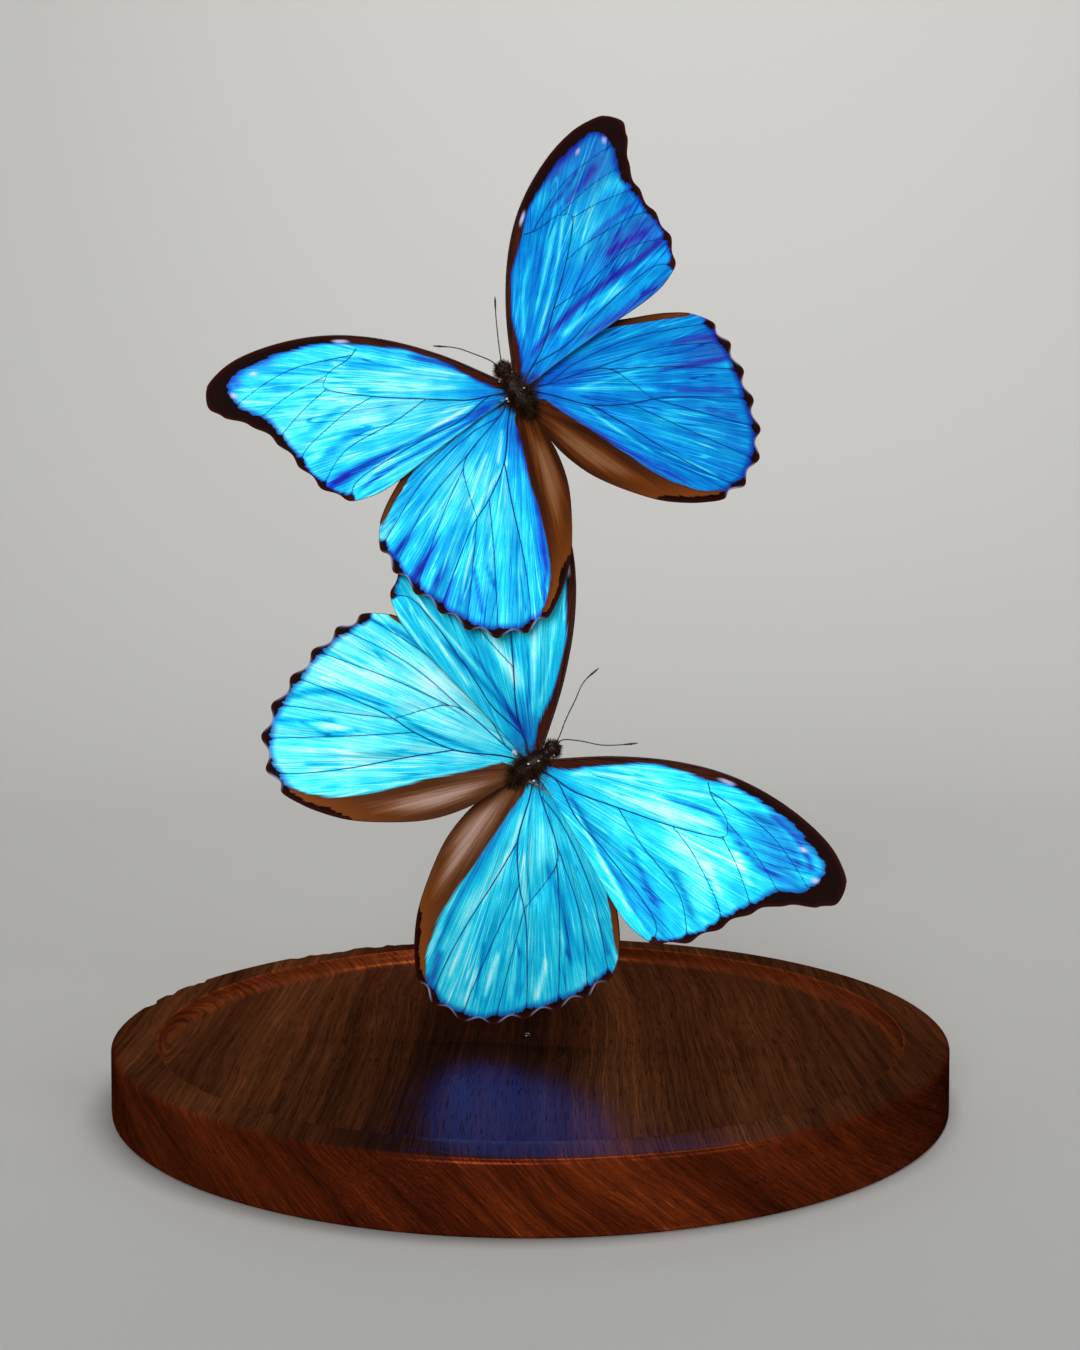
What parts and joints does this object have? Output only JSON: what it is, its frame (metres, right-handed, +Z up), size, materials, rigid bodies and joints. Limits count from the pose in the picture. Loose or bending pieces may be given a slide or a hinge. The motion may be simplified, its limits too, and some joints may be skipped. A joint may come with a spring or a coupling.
{
  "type": "mounted butterflies on a wooden dome base",
  "caption": "Blue butterflies mounted one above the other on an upright wire in a round dark wooden base with a turned dome recess.",
  "frame": {"origin": "middle of the wooden base's underside", "axes": "+Z up along the wire, -Y towards the front, which the butterflies' backs face"},
  "size_m": [0.2, 0.2, 0.2383],
  "materials": {
    "dark_wood": "dark stain, satin lacquer",
    "brass_wire": "drawn, satin",
    "glue": "dark hardened glue",
    "fur": "dense dark hair",
    "leg": "dry pale horn",
    "upper_wings": "azure structural colour with black-brown borders",
    "lower_wings": "turquoise structural colour with black-brown borders",
    "antennae": "dark horn, satin"
  },
  "bodies": {
    "root": {"base": "dark_wood", "stem_wire": "brass_wire", "wire_foot": "glue", "upper_body": "fur", "lower_body": "fur", "lower_leg": "leg", "upper_left_forewing": "upper_wings", "upper_right_forewing": "upper_wings", "upper_left_hindwing": "upper_wings", "upper_right_hindwing": "upper_wings", "lower_left_forewing": "lower_wings", "lower_right_forewing": "lower_wings", "lower_left_hindwing": "lower_wings", "lower_right_hindwing": "lower_wings", "upper_left_antenna": "antennae", "upper_right_antenna": "antennae", "lower_left_antenna": "antennae", "lower_right_antenna": "antennae"}
  },
  "joints": []
}
